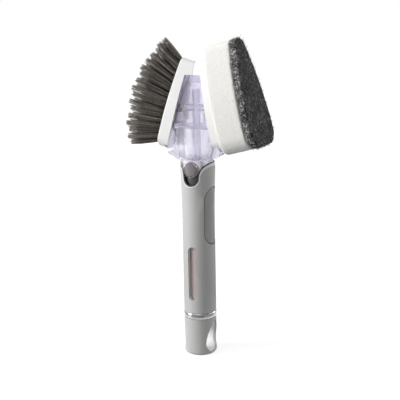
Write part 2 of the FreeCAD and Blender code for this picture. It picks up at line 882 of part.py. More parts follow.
def make_neck_gasket():
    """A soft dark ring that fills the wavy joint between the handle's lip and the clear neck."""
    inside = socket_seat + s.fit_gap
    outside = neck_radius - s.gasket_sink
    low = saddle - s.notch_radius
    high = lip_top + s.lip_height
    body = turned_body("neck_gasket", [(inside, low), (outside, low), (outside, high), (inside, high)])
    seat = below_wave(shell_notch - s.fit_gap, shell_shoulder + s.fit_gap)
    pocket(body, outline_sketch(body, "XZ_Plane", seat), both=True)
    edge = s.fit_gap + s.gasket_height
    crest = above_wave(shell_notch - edge, shell_shoulder + edge)
    pocket(body, outline_sketch(body, "XZ_Plane", crest), both=True)
    return body


def below_bezel():
    """What lies below the clear rim round the release button: the dark thumb recess."""
    middle = release_height - s.release_height / 2 + s.release_width / 2
    rim = s.release_width / 2 + s.slide_gap + s.bezel_wall
    level = middle - s.bezel_drop
    touch = root(rim * rim - s.bezel_drop * s.bezel_drop)
    low = notch_low - s.notch_radius
    return [
        (-shell_notch, low), (shell_notch, low), (shell_notch, level), (touch, level, -rim),
        (0, middle - rim, -rim), (-touch, level), (-shell_notch, level),
    ]


def make_head_neck():
    """The clear neck: a sleeve on the socket, a hollow below the hood, side wings and a soap spigot."""
    body = new_body("head_neck")
    section = (seam_half_width, s.seam_half_depth, s.seam_corner)
    low = outline_sketch(body, "XY_Plane", ring_like(neck_radius, *section), (0, 0, lip_top))
    high = outline_sketch(body, "XY_Plane", rounded_rectangle(*section), (0, 0, seam_height))
    loft(body, low, high)
    sleeve_low = notch_low - s.notch_radius / 2
    pad(body, circle_sketch(body, "XY_Plane", 0, 0, neck_radius, (0, 0, sleeve_low)), lip_top - sleeve_low)
    wings = sketch_on(body, "XZ_Plane")
    for side in (1, -1):
        add_outline(wings, wing_outline(side))
    pad(body, wings, 2 * s.wing_half_depth, both=True)
    bore = circle_sketch(body, "XY_Plane", 0, 0, sleeve_bore, (0, 0, neck_floor_low))
    pocket(body, bore)
    joint = s.gasket_height + 2 * s.fit_gap
    wave = below_wave(shell_notch - joint, shell_shoulder + joint)
    pocket(body, outline_sketch(body, "XZ_Plane", wave), both=True)
    pocket(body, outline_sketch(body, "XZ_Plane", below_bezel()), reverse=True)
    hole = slot_outline(s.release_width / 2 + s.slide_gap, s.release_height + 2 * s.slide_gap, release_height)
    pocket(body, outline_sketch(body, "XZ_Plane", hole), reverse=True)
    seat_low = seam_height - s.plate_thickness - s.fit_gap
    inner = (seat_half_width - s.neck_ledge, seat_half_depth - s.neck_ledge, seat_corner)
    hollow_low = ring_like(neck_radius - s.neck_wall, *section)
    loft(body, outline_sketch(body, "XY_Plane", hollow_low, (0, 0, neck_floor_high)),
         outline_sketch(body, "XY_Plane", rounded_rectangle(*inner), (0, 0, seat_low)), "SubtractiveLoft")
    seat = rounded_rectangle(seat_half_width, seat_half_depth, seat_corner)
    pocket(body, outline_sketch(body, "XY_Plane", seat, (0, 0, seat_low)), reverse=True)
    spigot = circle_sketch(body, "XY_Plane", 0, 0, spigot_radius, (0, 0, spigot_low))
    pad(body, spigot, neck_floor_high - spigot_low)
    bore = circle_sketch(body, "XY_Plane", 0, 0, s.pipe_radius - s.pipe_wall, (0, 0, neck_floor_high))
    pocket(body, bore)
    seat_foot = (0, 0, riser_low - s.fit_gap)
    pipe_seat = circle_sketch(body, "XY_Plane", 0, 0, s.pipe_radius + s.fit_gap, seat_foot)
    pocket(body, pipe_seat, s.neck_length, reverse=True)
    groove_half = s.neck_seal_radius + s.fit_gap
    groove_inside = spigot_radius - 2 * s.neck_seal_radius
    groove = rectangle(groove_inside, neck_seal_height - groove_half,
                       spigot_radius + s.slide_gap, neck_seal_height + groove_half)
    turn(body, outline_sketch(body, "XZ_Plane", groove), "Groove")
    return body


def wing_outline(side):
    """One side wing: it backs the lower end of a carrier, and its rounded toe runs in to the neck."""
    outer_low = seam_height - s.wing_drop
    toe_low = outer_low - s.wing_toe
    inside = neck_radius - s.neck_wall
    edge = [
        (inside, seam_height), (seam_half_width, seam_height), (side_plane(outer_low), outer_low),
        (side_plane(outer_low) - s.wing_toe, toe_low), (neck_radius, toe_low - s.wing_slope),
        (inside, toe_low - s.wing_slope),
    ]
    corners = [[x * side, y] for x, y in edge]
    corners[2].append(-1 * side * s.wing_toe)
    return corners


def make_head_hood():
    """The clear wedge on the neck, hollow, with two slots and a soap outlet through each sloping side."""
    body = new_body("head_hood")
    low = seam_height + s.fit_gap
    bottom = rounded_rectangle(seam_half_width, s.seam_half_depth, s.seam_corner)
    top = rounded_rectangle(s.top_half_width, s.top_half_depth, s.top_corner)
    loft(body, outline_sketch(body, "XY_Plane", bottom, (0, 0, low)),
         outline_sketch(body, "XY_Plane", top, (0, 0, head_top)))
    roof = head_top - s.hood_roof
    depth_slope = (s.seam_half_depth - s.top_half_depth) / s.hood_height
    inner_low = rounded_rectangle(seat_half_width, seat_half_depth, seat_corner)
    inner_high = rounded_rectangle(side_plane(roof) - s.hood_wall,
                                   s.top_half_depth + s.hood_roof * depth_slope - s.hood_wall, s.top_corner)
    loft(body, outline_sketch(body, "XY_Plane", inner_low, (0, 0, low)),
         outline_sketch(body, "XY_Plane", inner_high, (0, 0, roof)), "SubtractiveLoft")
    ways = sketch_on(body, "YZ_Plane")
    for side in (1, -1):
        middle = side * s.tongue_spread
        half = s.tongue_thickness / 2 + s.slide_gap
        low_way = tongue_low - s.slide_gap
        high_way = tongue_high + s.slide_gap
        add_outline(ways, rectangle(middle - half, low_way, middle + half, high_way))
    add_circle(ways, 0, outlet_height, s.valve_radius + s.slide_gap)
    pocket(body, ways, both=True)
    return body


def make_neck_seal():
    return make_torus("neck_seal", spigot_radius - s.neck_seal_radius + s.fit_gap / 2, s.neck_seal_radius,
                      neck_seal_height)


def make_soap_manifold():
    """A riser in the spigot, on a plate that closes the neck's hollow, with a branch to each outlet."""
    body = new_body("soap_manifold")
    plate_low = seam_height - s.plate_thickness
    seat = (seat_half_width, seat_half_depth, seat_corner)
    plate = rounded_rectangle(*(size - s.fit_gap for size in seat))
    pad(body, outline_sketch(body, "XY_Plane", plate, (0, 0, plate_low)), s.plate_thickness)
    riser_top = outlet_height + s.pipe_rise
    riser = circle_sketch(body, "XY_Plane", 0, 0, s.pipe_radius, (0, 0, riser_low))
    pad(body, riser, riser_top - riser_low)
    branch = circle_sketch(body, "YZ_Plane", 0, outlet_height, s.branch_radius)
    pad(body, branch, 2 * s.branch_half_length, both=True)
    closed_end = (0, 0, riser_top - s.pipe_wall)
    pocket(body, circle_sketch(body, "XY_Plane", 0, 0, s.pipe_radius - s.pipe_wall, closed_end))
    branch_bore = circle_sketch(body, "YZ_Plane", 0, outlet_height, s.branch_radius - s.branch_wall)
    pocket(body, branch_bore, both=True)
    return body


def make_valve(label, yaw):
    """A soft outlet valve: its flange closes the branch, and its nozzle reaches through the hood's side."""
    body = new_body(label)
    start = s.branch_half_length + s.fit_gap
    flange_end = start + s.valve_flange
    end = side_plane(outlet_height) + s.valve_reach
    profile = [
        (start, s.valve_bore), (end, s.valve_bore), (end, s.valve_radius - s.valve_bore),
        (end - s.valve_reach, s.valve_radius), (flange_end, s.valve_radius), (flange_end, s.branch_radius),
        (start, s.branch_radius),
    ]
    turn(body, outline_sketch(body, "XZ_Plane", profile, (0, outlet_height, 0)), axis="H_Axis")
    body.Placement = FreeCAD.Placement(FreeCAD.Vector(), FreeCAD.Rotation(yaw, 0, 0))
    return body


# Brush and sponge, which are drawn on the +X side, and the brush is then turned to the -X side


def side_sketch(body, corners, distance):
    """A sketch that lies along the hood's sloping side, at a distance from it."""
    outward = top_offset(distance)
    return outline_sketch(body, "YZ_Plane", corners, (0, outward[1], outward[0]), s.side_tilt)


def top_offset(distance):
    """Where the upper edge of the hood's side comes to, moved out by a distance square to the side."""
    return (s.top_half_width + distance * cosine(s.side_tilt), head_top + distance * sine(s.side_tilt))


def carrier_outline():
    return pick_outline(s.carrier_half_width, s.carrier_rise, s.carrier_length,
                        s.carrier_tip, s.carrier_corner)


def sponge_outline():
    return pick_outline(s.sponge_half_width, s.sponge_rise, s.sponge_length, s.sponge_tip, s.sponge_corner)


def cut_hood_recess(body):
    """Hollow the back of a carrier, so that a rim stays along its flanks and its tip and clasps the hood."""
    inner = pick_outline(s.carrier_half_width - s.rim_wall, s.carrier_rise - s.rim_wall, s.carrier_length,
                         s.carrier_tip - s.rim_wall, s.rim_wall)
    deep = s.rim_depth + 2 * s.slide_gap
    pocket(body, side_sketch(body, inner, s.slide_gap), deep)
    room = 2 * s.slide_gap
    low = -s.hood_height / cosine(s.side_tilt)
    wide = s.seam_half_depth + room
    narrow = s.top_half_depth + room
    hood_side = [(-wide, low), (wide, low), (narrow, room), (-narrow, room)]
    pocket(body, side_sketch(body, hood_side, s.slide_gap), deep)


def make_carrier(label, thickness):
    """A plate along the hood's side, with a nose over the hood, two tongues in its slots and a soap hole."""
    body = new_body(label)
    plate = pad(body, side_sketch(body, carrier_outline(), s.slide_gap), thickness)
    face_x, face_z = (size.value for size in top_offset(s.slide_gap + thickness - s.fit_gap))
    slope = tangent(s.side_tilt).value
    round_edges(body, plate, s.carrier_edge, lambda point: point.x - face_x + (point.z - face_z) * slope > 0)
    inset = s.slide_gap + thickness / 2
    pad(body, side_sketch(body, carrier_outline(), inset), side_plane(head_top) + inset, reverse=True)
    low = head_top - s.carrier_length
    nose_low = head_top + s.slide_gap
    nose_high = head_top + s.carrier_length
    inside_rim = [
        (-s.carrier_length, low), (side_plane(low) - s.rim_depth, low),
        (side_plane(seam_height) - s.rim_depth, seam_height), (side_plane(nose_low) - s.slide_gap, nose_low),
        (s.slide_gap / 2, nose_low), (s.slide_gap / 2, nose_high), (-s.carrier_length, nose_high),
    ]
    pocket(body, outline_sketch(body, "XZ_Plane", inside_rim), both=True)
    cut_hood_recess(body)
    tongue_end = side_plane(tongue_high) - s.hood_wall - s.tongue_reach
    tongue = rectangle(tongue_end, tongue_low, side_plane(tongue_low) + inset, tongue_high)
    half = s.tongue_thickness / 2
    for front in (s.tongue_spread - half, -s.tongue_spread - half):
        pad(body, outline_sketch(body, "XZ_Plane", tongue, (0, 0, front)), s.tongue_thickness)
    way = circle_sketch(body, "YZ_Plane", 0, outlet_height, s.valve_radius + s.slide_gap)
    pocket(body, way, reverse=True)
    return body


def make_sponge_carrier():
    return make_carrier("sponge_carrier", s.carrier_thickness)


def make_sponge():
    body = new_body("sponge")
    inner = s.slide_gap + s.carrier_thickness + s.fit_gap
    pad(body, side_sketch(body, sponge_outline(), inner), s.sponge_thickness)
    return body


def make_scour_pad():
    body = new_body("scour_pad")
    inner = s.slide_gap + s.carrier_thickness + s.sponge_thickness + 2 * s.fit_gap
    pad(body, side_sketch(body, sponge_outline(), inner), s.pad_thickness)
    return body


def carrier_half_width_at(rise):
    """Half width of the carrier's outline at a rise along the hood's side."""
    corners = [[as_size(number).value for number in corner] for corner in carrier_outline()]
    half_width, low, flank = corners[1]
    touch_y = corners[2][1]
    corner = s.carrier_corner.value
    if rise < low:
        return half_width - corner + math.sqrt(max(corner ** 2 - (low - rise) ** 2, 0.0))
    if rise > touch_y:
        tip = s.carrier_tip.value
        return math.sqrt(max(tip ** 2 - (rise - s.carrier_rise.value + tip) ** 2, 0.0))
    return half_width - flank + math.sqrt(flank ** 2 - (rise - low) ** 2)


def tuft_places():
    """Foot, direction and length of each tuft: staggered rows that fan out to a rounded trim."""
    tilt = math.radians(s.side_tilt.value)
    outward = FreeCAD.Vector(math.cos(tilt), 0, math.sin(tilt))
    upward = FreeCAD.Vector(-math.sin(tilt), 0, math.cos(tilt))
    across = FreeCAD.Vector(0, 1, 0)
    face = top_offset(s.slide_gap + s.block_thickness)
    origin = FreeCAD.Vector(face[0].value, 0, face[1].value)
    pitch = s.tuft_pitch.value
    margin = s.tuft_margin.value
    outlet_room = (s.valve_radius + 2 * s.slide_gap + s.tuft_radius + s.fit_gap).value
    low = s.carrier_rise.value - s.carrier_length.value + s.tuft_foot_margin.value
    high = s.carrier_rise.value - margin
    rows = int((high - low) / (pitch * math.sqrt(3) / 2)) + 1
    for row in range(rows):
        share = row / (rows - 1)
        rise = low + (high - low) * share
        room = carrier_half_width_at(rise) - margin
        stagger = 0.5 * ((rows - 1 - row) % 2)
        reach = math.ceil(room / pitch)
        lean = math.radians(-s.fan_low.value + (s.fan_low.value + s.fan_high.value) * share)
        straight = s.tuft_foot_length.value * (1 - share) + s.tuft_top_length.value * share
        length = straight + 4 * s.tuft_bulge.value * share * (1 - share)
        for place in range(-reach - 1, reach + 1):
            y = (place + stagger) * pitch
            foot = origin + upward * rise + across * y
            if abs(y) > room or math.hypot(y, foot.z - outlet_height.value) < outlet_room:
                continue
            swing = math.radians(s.fan_side.value) * y / s.carrier_half_width.value
            level = outward * math.cos(swing) + across * math.sin(swing)
            direction = level * math.cos(lean) + upward * math.sin(lean)
            yield foot, direction, length


def tapered_prism(foot, direction, stations):
    """A many-sided bar along a direction: stations are (distance from the foot, radius)."""
    sides = int(s.tuft_sides.value)
    turned = FreeCAD.Rotation(FreeCAD.Vector(0, 0, 1), direction)
    angles = [2 * math.pi * side / sides for side in range(sides)]
    rings = []
    for distance, radius in stations:
        ring = [FreeCAD.Vector(radius * math.cos(a), radius * math.sin(a), distance) for a in angles]
        rings.append([foot + turned.multVec(point) for point in ring])
    outlines = [rings[0], rings[-1]]
    for low, high in zip(rings, rings[1:]):
        for side in range(sides):
            after = (side + 1) % sides
            outlines.append([low[side], low[after], high[after], high[side]])
    faces = [Part.Face(Part.makePolygon(corners + corners[:1])) for corners in outlines]
    return Part.makeSolid(Part.makeShell(faces))


def make_bristle_tufts():
    """Bundles of bristles, each one tapered solid that is rooted in the block and spreads to its tip."""
    waist = s.tuft_radius.value
    tip = s.tuft_tip_radius.value
    tufts = document.addObject("Part::Feature", "bristle_tufts")
    tufts.Label = "bristle_tufts"
    tufts.Shape = Part.makeCompound([
        tapered_prism(foot, direction, [(-s.tuft_depth.value, waist), (0, waist), (length, tip)])
        for foot, direction, length in tuft_places()
    ])
    tufts.Placement = FreeCAD.Placement(FreeCAD.Vector(), FreeCAD.Rotation(180, 0, 0))
    return tufts


def make_brush_block():
    """The carrier with a blind hole for each tuft in its outer face."""
    low = -s.tuft_depth.value - s.slide_gap.value
    bore = s.tuft_radius.value + s.fit_gap.value
    holes = document.addObject("Part::Feature", "tuft_holes")
    holes.Shape = Part.makeCompound([
        tapered_prism(foot, direction, [(low, bore), (2 * bore, bore)])
        for foot, direction, _ in tuft_places()
    ])
    block = cut("brush_block", make_carrier("brush_carrier", s.block_thickness), holes)
    block.Placement = FreeCAD.Placement(FreeCAD.Vector(), FreeCAD.Rotation(180, 0, 0))
    return block


pieces = [
    make_cap_skin(),
    make_cap_core(),
    make_cap_seal(),
    make_trim_ring(),
    make_grip_sleeve(),
    make_handle_shell(),
    make_reservoir(),
    make_pump_tray(),
    make_pump_diaphragm(),
    make_inlet_valve(),
    make_feed_tube(),
    make_pump_button(),
    make_neck_socket(),
    make_release_guide(),
    make_release_button(),
    make_release_spring(),
    make_neck_gasket(),
    make_head_neck(),
    make_head_hood(),
    make_neck_seal(),
    make_soap_manifold(),
    make_valve("sponge_valve", 0),
    make_valve("brush_valve", 180),
    make_sponge_carrier(),
    make_sponge(),
    make_scour_pad(),
    make_brush_block(),
    make_bristle_tufts(),
]
document.recompute()

failed = [item.Label for item in document.Objects if "Invalid" in item.State or "Error" in item.State]
failed += [piece.Label for piece in pieces if piece.Shape.isNull() or not piece.Shape.isValid()]
if failed:
    raise RuntimeError("these failed: " + ", ".join(failed))
os.makedirs("parts", exist_ok=True)
for piece in pieces:
    piece.Shape.exportStep(f"parts/{piece.Label}.step")
    print(piece.Label, len(piece.Shape.Solids), round(piece.Shape.Volume, 1))
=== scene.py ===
import math
import random

import bpy
from mathutils import Matrix, Vector


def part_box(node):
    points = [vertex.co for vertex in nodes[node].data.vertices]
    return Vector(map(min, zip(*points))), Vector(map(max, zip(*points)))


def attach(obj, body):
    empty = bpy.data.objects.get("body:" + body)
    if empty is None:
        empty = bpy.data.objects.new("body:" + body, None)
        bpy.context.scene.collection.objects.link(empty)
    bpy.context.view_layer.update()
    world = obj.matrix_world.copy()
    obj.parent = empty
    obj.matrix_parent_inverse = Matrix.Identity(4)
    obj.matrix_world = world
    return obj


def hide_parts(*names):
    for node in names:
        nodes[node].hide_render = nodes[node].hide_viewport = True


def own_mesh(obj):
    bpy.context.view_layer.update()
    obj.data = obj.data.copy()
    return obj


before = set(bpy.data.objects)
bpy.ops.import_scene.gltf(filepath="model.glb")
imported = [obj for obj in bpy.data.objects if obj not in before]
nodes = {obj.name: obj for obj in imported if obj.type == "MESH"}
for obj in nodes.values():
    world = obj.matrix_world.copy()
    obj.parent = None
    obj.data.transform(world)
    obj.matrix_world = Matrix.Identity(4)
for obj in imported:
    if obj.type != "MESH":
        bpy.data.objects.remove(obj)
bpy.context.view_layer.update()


# Handle shell, cap core, pump tray and release guide: white polypropylene mouldings that the handle is built on. The
# shell is a tube with a lip that shows above the grip, and the core is the plug inside the end cap.

noise_middle = (0.3, 0.7)
mould_clouds = 55.0
mould_gloss = 140.0
mould_grain = 900.0
mould_grain_depth = 0.00003


def new_material(name):
    """A new material, its node tree and its shader."""
    material = bpy.data.materials.new(name)
    material.use_nodes = True
    tree = material.node_tree
    return material, tree, tree.nodes["Principled BSDF"]


def set_inputs(shader, values):
    """Constant values on a shader's inputs."""
    for name, value in values.items():
        shader.inputs[name].default_value = value


def object_noise(tree, scale, detail=3.0, roughness=0.5):
    """Noise on the piece's own coordinates, with features about 1/scale metres across."""
    place = tree.nodes.new("ShaderNodeTexCoord")
    noise = tree.nodes.new("ShaderNodeTexNoise")
    noise.inputs["Scale"].default_value = scale
    noise.inputs["Detail"].default_value = detail
    noise.inputs["Roughness"].default_value = roughness
    tree.links.new(place.outputs["Object"], noise.inputs["Vector"])
    return noise.outputs["Fac"]


def ramp(tree, value, stops):
    """Colours along a value: stops are (position, colour)."""
    node = tree.nodes.new("ShaderNodeValToRGB")
    elements = node.color_ramp.elements
    while len(elements) < len(stops):
        elements.new(0.5)
    for element, (position, colour) in zip(elements, stops):
        element.position = position
        element.color = (*colour, 1.0)
    tree.links.new(value, node.inputs["Fac"])
    return node.outputs["Color"]


def spread(tree, value, low, high):
    """A noise, spread from its middle range to a range of numbers."""
    node = tree.nodes.new("ShaderNodeMapRange")
    node.inputs["From Min"].default_value, node.inputs["From Max"].default_value = noise_middle
    node.inputs["To Min"].default_value = low
    node.inputs["To Max"].default_value = high
    tree.links.new(value, node.inputs["Value"])
    return node.outputs["Result"]


def clouded(tree, shader, dark, light, scale):
    """Clouds of colour from dark to light, about 1/scale metres across."""
    clouds = ramp(tree, object_noise(tree, scale), list(zip(noise_middle, (dark, light))))
    tree.links.new(clouds, shader.inputs["Base Color"])


def uneven_gloss(tree, shader, gloss, scale, detail=3.0):
    """Roughness that wanders between two values, in patches about 1/scale metres across."""
    tree.links.new(spread(tree, object_noise(tree, scale, detail), *gloss), shader.inputs["Roughness"])


def bump(tree, shader, value, depth, strength=1.0):
    """A fine relief of a depth in metres on the shader's normal."""
    node = tree.nodes.new("ShaderNodeBump")
    node.inputs["Strength"].default_value = strength
    node.inputs["Distance"].default_value = depth
    tree.links.new(value, node.inputs["Height"])
    tree.links.new(node.outputs["Normal"], shader.inputs["Normal"])


def shade(colour, share):
    """A colour made darker or lighter by a share."""
    return tuple(min(channel * share, 1.0) for channel in colour)


def moulded_plastic(name, colour, gloss, mottle=0.03):
    """A moulded plastic: faint clouds of colour, uneven gloss and the spark texture of the mould."""
    material, tree, shader = new_material(name)
    clouded(tree, shader, shade(colour, 1 - mottle), shade(colour, 1 + mottle), mould_clouds)
    uneven_gloss(tree, shader, gloss, mould_gloss, detail=4.0)
    bump(tree, shader, object_noise(tree, mould_grain, detail=2.0), mould_grain_depth)
    return material


def finish_nodes(material, *names):
    """Gives CAD nodes their material."""
    for name in names:
        nodes[name].material_slots[0].material = material


shell_white = moulded_plastic("shell_white", colour=(0.83, 0.83, 0.82), gloss=(0.30, 0.42))
finish_nodes(shell_white, "handle_shell", "cap_core", "pump_tray", "release_guide")


# Soap tank: a blow-moulded bottle of smoky see-through plastic inside the shell. Its front shows through the window,
# where the user reads how much soap is left.

tank_dark = (0.56, 0.48, 0.465)
tank_light = (0.62, 0.535, 0.52)
tank_scatter = (0.005, 0.0045, 0.0045)
tank_smoke, tree, shader = new_material("tank_smoke")
clouded(tree, shader, tank_dark, tank_light, scale=35.0)
uneven_gloss(tree, shader, gloss=(0.10, 0.22), scale=120.0)
set_inputs(shader, {"Transmission Weight": 0.2, "IOR": 1.46, "Subsurface Weight": 0.4,
                    "Subsurface Radius": tank_scatter, "Subsurface Scale": 1.0})
bump(tree, shader, object_noise(tree, scale=60.0), depth=0.00004)
finish_nodes(tank_smoke, "reservoir")


# Grip sleeve and end cap skin: a satin light grey moulding over the shell. The sleeve flares to the head and ends in
# a wavy edge, and the skin wraps the cap's white core.

grip_grey = moulded_plastic("grip_grey", colour=(0.47, 0.47, 0.465), gloss=(0.34, 0.46), mottle=0.02)
finish_nodes(grip_grey, "grip_sleeve", "cap_skin")


# Trim ring: a chromed ABS band between the grip and the cap. It is moulded, plated and polished bright, and it is
# pressed on the shell.


def bright_metal(name, dark, light, scale, gloss, gloss_scale):
    """A bright metal face: faint clouds of colour and uneven gloss."""
    material, tree, shader = new_material(name)
    set_inputs(shader, {"Metallic": 1.0})
    clouded(tree, shader, dark, light, scale)
    uneven_gloss(tree, shader, gloss, gloss_scale)
    return material


ring_chrome = bright_metal("ring_chrome", dark=(0.58, 0.58, 0.59), light=(0.64, 0.64, 0.645), scale=80.0,
                           gloss=(0.06, 0.14), gloss_scale=500.0)
finish_nodes(ring_chrome, "trim_ring")


# Pump: a soft-touch mid grey button, with a silicone diaphragm, inlet valve and feed tube behind it. The diaphragm
# stands on the tray, under the button.

merge_reach = 0.000002


def select_only(piece):
    """Makes a piece the only selected one, and the active one."""
    bpy.ops.object.select_all(action="DESELECT")
    piece.select_set(True)
    bpy.context.view_layer.objects.active = piece


def merged_copy(node, name):
    """A new piece with the shape of a CAD node, its loose triangles merged. It is left selected."""
    piece = bpy.data.objects.new(name, nodes[node].data.copy())
    piece.data.materials.clear()
    bpy.context.scene.collection.objects.link(piece)
    select_only(piece)
    bpy.ops.object.mode_set(mode="EDIT")
    bpy.ops.mesh.select_all(action="SELECT")
    bpy.ops.mesh.remove_doubles(threshold=merge_reach)
    bpy.ops.object.mode_set(mode="OBJECT")
    return piece


button_grey = moulded_plastic("button_grey", colour=(0.35, 0.35, 0.34), gloss=(0.42, 0.56), mottle=0.04)
finish_nodes(button_grey, "pump_button")
silicone = moulded_plastic("silicone", colour=(0.72, 0.72, 0.70), gloss=(0.45, 0.6))
finish_nodes(silicone, "inlet_valve", "feed_tube", "cap_seal", "neck_seal", "sponge_valve", "brush_valve")
diaphragm = merged_copy("pump_diaphragm", "diaphragm")
diaphragm.data.materials.append(silicone)
foot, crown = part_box("pump_diaphragm")
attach(diaphragm, "handle")
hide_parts("pump_diaphragm")
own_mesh(diaphragm)


# Socket, gasket and release button: a near-black plug in the handle's mouth that takes the head, a rubber ring in the
# wavy joint, painted near-black as the shade of the joint's gap and the notch's recess, and a dark grey push button
# in its guide, on a small coil spring of bright wire.

socket_grey = moulded_plastic("socket_grey", colour=(0.042, 0.037, 0.039), gloss=(0.38, 0.5), mottle=0.08)
finish_nodes(socket_grey, "neck_socket")
# Painted shade: the gasket's near-black colour stands for the shadow in the joint's gap and the notch's recess.
gasket_black = moulded_plastic("gasket_black", colour=(0.035, 0.033, 0.034), gloss=(0.5, 0.65), mottle=0.08)
finish_nodes(gasket_black, "neck_gasket")
release_grey = moulded_plastic("release_grey", colour=(0.19, 0.162, 0.17), gloss=(0.32, 0.44), mottle=0.05)
finish_nodes(release_grey, "release_button")
spring_steel = bright_metal("spring_steel", dark=(0.52, 0.52, 0.52), light=(0.62, 0.62, 0.62), scale=300.0,
                            gloss=(0.2, 0.35), gloss_scale=900.0)
coil = merged_copy("release_spring", "coil")
coil.data.materials.append(spring_steel)
crown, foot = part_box("release_spring")
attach(coil, "handle")
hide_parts("release_spring")
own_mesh(coil)


# Clear head: the neck, the hood welded on it and the soap manifold inside, moulded in clear plastic with a faint
# violet tint. Walls are about 2 mm thick, so edges look darker than faces.

clear_dark = (0.90, 0.89, 0.96)
clear_light = (0.94, 0.93, 0.98)


def clear_plastic(name, tone, density):
    """Clear plastic with a tint that deepens with its thickness, by a density per metre."""
    material, tree, shader = new_material(name)
    clouded(tree, shader, clear_dark, clear_light, scale=30.0)
    uneven_gloss(tree, shader, gloss=(0.02, 0.06), scale=160.0)
    set_inputs(shader, {"Transmission Weight": 0.93, "IOR": 1.49, "Alpha": 0.8})
    tint = tree.nodes.new("ShaderNodeVolumeAbsorption")
    tint.inputs["Color"].default_value = (*tone, 1)
    tint.inputs["Density"].default_value = density
    tree.links.new(tint.outputs["Volume"], tree.nodes["Material Output"].inputs["Volume"])
    bump(tree, shader, object_noise(tree, scale=90.0), depth=0.00001)
    return material


finish_nodes(clear_plastic("neck_clear", tone=(0.70, 0.68, 0.77), density=75.0), "head_neck")
finish_nodes(clear_plastic("hood_clear", tone=(0.70, 0.65, 0.80), density=150.0), "head_hood")
finish_nodes(clear_plastic("manifold_clear", tone=(0.70, 0.66, 0.80), density=70.0), "soap_manifold")


# Carriers: white polypropylene plates that clip on the hood's two sides. One is drilled for the tufts, and the sponge
# is bonded to the other.

carrier_white = moulded_plastic("carrier_white", colour=(0.73, 0.73, 0.725), gloss=(0.32, 0.44), mottle=0.02)
finish_nodes(carrier_white, "brush_block", "sponge_carrier")


# Bristles: nylon filament, warm dark grey, folded over staples into the drilled holes of the block. A tuft spreads
# from its hole, and the fan is trimmed to a round face, so the tips are nearly level but a little uneven.

filament_radius = 0.00016
filament_sides = 5
filament_bow = 0.0007
filaments_in_tuft = 56
tuft_kinds = 4
tuft_waist = 0.0010
tuft_spread = 0.0024
tip_scatter = (0.75, 1.15)
lean_scatter = 0.5
tip_unevenness = 0.05
stand_sides = 8
golden_angle = math.pi * (3 - math.sqrt(5))
strand_clouding = 0.3
bristle_dark = (0.012, 0.0105, 0.009)
bristle_light = (0.27, 0.245, 0.215)
bristle_chance = random.Random(11)


def placed_copy(piece, matrix):
    """A copy of a piece with its own mesh, put in place by a matrix."""
    copy = bpy.data.objects.new(piece.name, piece.data.copy())
    copy.data.transform(matrix)
    bpy.context.scene.collection.objects.link(copy)
    return copy


def joined(pieces, name):
    """Several pieces as one, with a new name."""
    bpy.ops.object.select_all(action="DESELECT")
    for piece in pieces:
        piece.select_set(True)
    bpy.context.view_layer.objects.active = pieces[0]
    bpy.ops.object.join()
    pieces[0].name = name
    return pieces[0]


def give_tone(piece, value):
    """A number from 0 to 1 on a strand, for the material to vary its colour by."""
    tone = piece.data.attributes.new("tone", "FLOAT", "POINT")
    tone.data.foreach_set("value", [value] * len(piece.data.vertices))


def draw_strand(name, sides, radius, pulls):
    """A strand drawn up from a small disc in pulls of (sideways, sideways, up, width)."""
    bpy.ops.object.select_all(action="DESELECT")
    bpy.ops.mesh.primitive_circle_add(vertices=sides, radius=radius, fill_type="NGON")
    strand = bpy.context.object
    strand.name = name
    bpy.ops.object.mode_set(mode="EDIT")
    bpy.ops.mesh.select_all(action="SELECT")
    for across, along, up, width in pulls:
        bpy.ops.mesh.extrude_region_move(TRANSFORM_OT_translate={"value": (across, along, up)})
        bpy.ops.transform.resize(value=(width, width, 1.0))
    bpy.ops.mesh.select_all(action="SELECT")
    bpy.ops.mesh.normals_make_consistent(inside=False)
    bpy.ops.object.mode_set(mode="OBJECT")
    bpy.ops.object.shade_smooth()
    return strand


def strand_nylon(name, dark, light, gloss, gloss_scale, specular):
    """Nylon of strands: from dark to light by a strand's own tone, clouded along it."""
    material, tree, shader = new_material(name)
    tone = tree.nodes.new("ShaderNodeAttribute")
    tone.attribute_name = "tone"
    mixed = tree.nodes.new("ShaderNodeMath")
    mixed.operation = "MULTIPLY_ADD"
    mixed.inputs[1].default_value = 1 - strand_clouding
    tree.links.new(tone.outputs["Fac"], mixed.inputs[0])
    tree.links.new(spread(tree, object_noise(tree, scale=420.0), 0.0, strand_clouding), mixed.inputs[2])
    tree.links.new(ramp(tree, mixed.outputs[0], [(0.0, dark), (1.0, light)]), shader.inputs["Base Color"])
    uneven_gloss(tree, shader, gloss, gloss_scale)
    set_inputs(shader, {"Specular IOR Level": specular})
    return material


filament = draw_strand("filament", filament_sides, filament_radius, [
    (filament_bow, 0.0, 0.35, 1.0), (filament_bow * 0.2, 0.0, 0.35, 0.95), (-filament_bow * 0.6, 0.0, 0.3, 0.75)])
tufts = []
for kind in range(tuft_kinds):
    strands = []
    for index in range(filaments_in_tuft):
        angle = index * golden_angle
        share = math.sqrt((index + 0.5) / filaments_in_tuft)
        foot = Vector((math.cos(angle), math.sin(angle))) * share * tuft_waist
        lean = angle + bristle_chance.uniform(-lean_scatter, lean_scatter)
        reach = share * tuft_spread * bristle_chance.uniform(*tip_scatter)
        tip = Vector((math.cos(lean), math.sin(lean))) * reach
        turn = Matrix.Rotation(bristle_chance.uniform(0, 2 * math.pi), 4, "Z")
        slant = Matrix.Identity(4)
        slant.col[2] = (tip.x - foot.x, tip.y - foot.y, 1 - bristle_chance.uniform(0, tip_unevenness), 0)
        slant.col[3] = (foot.x, foot.y, 0, 1)
        strand = placed_copy(filament, slant @ turn)
        give_tone(strand, bristle_chance.random())
        strands.append(strand)
    tufts.append(joined(strands, "tuft"))
merged_copy("bristle_tufts", "cad_tufts")
bpy.ops.object.mode_set(mode="EDIT")
bpy.ops.mesh.separate(type="LOOSE")
bpy.ops.object.mode_set(mode="OBJECT")
tuft_stands = list(bpy.context.selected_objects)
brush = []
